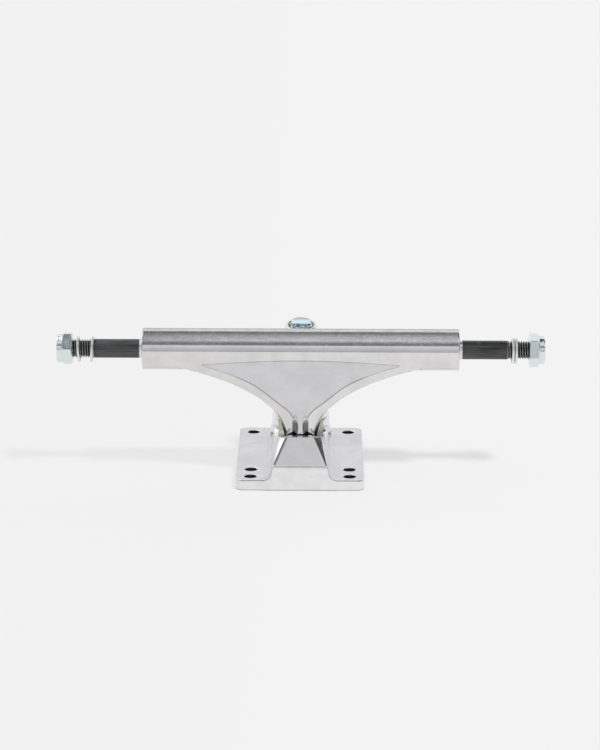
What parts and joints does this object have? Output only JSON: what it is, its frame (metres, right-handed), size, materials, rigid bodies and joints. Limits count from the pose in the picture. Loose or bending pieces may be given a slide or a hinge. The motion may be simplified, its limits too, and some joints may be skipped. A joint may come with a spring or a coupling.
{
  "type": "skateboard truck",
  "caption": "Skateboard truck: cast baseplate, swivelling hanger with a through axle, kingpin with two bushings, lock nuts and loose speed rings.",
  "frame": {"origin": "centre of the four deck bolts on the baseplate's bottom face", "axes": "+X along the axle, +Y from the pivot cup towards the kingpin, +Z away from the deck"},
  "size_m": [0.2056, 0.0761, 0.0602],
  "materials": {
    "cast_alloy": "fine satin casting",
    "cup_plastic": "matt",
    "zinc": "pale blue zinc plate",
    "ring_zinc": "pale blue zinc plate",
    "urethane": "satin",
    "black_steel": "black oxide",
    "nylon": "satin"
  },
  "bodies": {
    "base": {"baseplate": "cast_alloy", "pivot_cup": "cup_plastic", "kingpin": "zinc", "lower_washer": "zinc", "lower_bushing": "urethane", "upper_bushing": "urethane", "upper_washer": "zinc"},
    "hanger": {"hanger": "cast_alloy", "axle": "black_steel"},
    "ring_left_inner": {"speed_ring_left_inner": "ring_zinc"},
    "ring_left_outer": {"speed_ring_left_outer": "ring_zinc"},
    "ring_right_inner": {"speed_ring_right_inner": "ring_zinc"},
    "ring_right_outer": {"speed_ring_right_outer": "ring_zinc"},
    "axle_nut_left_insert": {"axle_nut_left_insert": "nylon"},
    "axle_nut_left": {"axle_nut_left": "zinc"},
    "axle_nut_right_insert": {"axle_nut_right_insert": "nylon"},
    "axle_nut_right": {"axle_nut_right": "zinc"},
    "kingpin_nut_insert": {"kingpin_nut_insert": "nylon"},
    "kingpin_nut": {"kingpin_nut": "zinc"}
  },
  "joints": [
    {"name": "steer", "type": "hinge", "parent": "base", "child": "hanger", "pos_m": [0, -0.0278, 0.01136], "axis": [0, 0.8761, 0.4821], "range_deg": [-15, 15], "stiffness_Nm_per_rad": 50, "deforming": ["lower_bushing", "upper_bushing"]},
    {"name": "ring_left_inner_slide", "type": "slide", "parent": "hanger", "child": "ring_left_inner", "axis": [1, 0, 0], "range_m": [-0.0038, 0.0186]},
    {"name": "ring_left_outer_slide", "type": "slide", "parent": "hanger", "child": "ring_left_outer", "axis": [1, 0, 0], "range_m": [-0.0013, 0.0038]},
    {"name": "ring_right_inner_slide", "type": "slide", "parent": "hanger", "child": "ring_right_inner", "axis": [1, 0, 0], "range_m": [-0.0205, 0.0002]},
    {"name": "ring_right_outer_slide", "type": "slide", "parent": "hanger", "child": "ring_right_outer", "axis": [1, 0, 0], "range_m": [-0.0002, 0.0046]},
    {"name": "axle_nut_left_travel", "type": "slide", "parent": "hanger", "child": "axle_nut_left_insert", "axis": [1, 0, 0], "range_m": [-0.0052, 0.0013]},
    {"name": "axle_nut_left_turn", "type": "hinge", "parent": "axle_nut_left_insert", "child": "axle_nut_left", "pos_m": [0, -0.0077, 0.0515], "axis": [1, 0, 0], "range_deg": [-1800, 450]},
    {"name": "axle_nut_right_travel", "type": "slide", "parent": "hanger", "child": "axle_nut_right_insert", "axis": [1, 0, 0], "range_m": [-0.0042, 0.0052]},
    {"name": "axle_nut_right_turn", "type": "hinge", "parent": "axle_nut_right_insert", "child": "axle_nut_right", "pos_m": [0, -0.0077, 0.0515], "axis": [1, 0, 0], "range_deg": [-1440, 1800]},
    {"name": "kingpin_nut_travel", "type": "slide", "parent": "base", "child": "kingpin_nut_insert", "axis": [0, -0.1736, 0.9848], "range_m": [0, 0.0052]},
    {"name": "kingpin_nut_turn", "type": "hinge", "parent": "kingpin_nut_insert", "child": "kingpin_nut", "pos_m": [0, 0.0148, 0.0348], "axis": [0, -0.1736, 0.9848], "range_deg": [0, 1800]}
  ],
  "couplings": [
    {"joint": "axle_nut_left_turn", "follows": "axle_nut_left_travel", "rad_per_m": 5936.9},
    {"joint": "axle_nut_right_turn", "follows": "axle_nut_right_travel", "rad_per_m": 5936.9},
    {"joint": "kingpin_nut_turn", "follows": "kingpin_nut_travel", "rad_per_m": 5936.9}
  ]
}
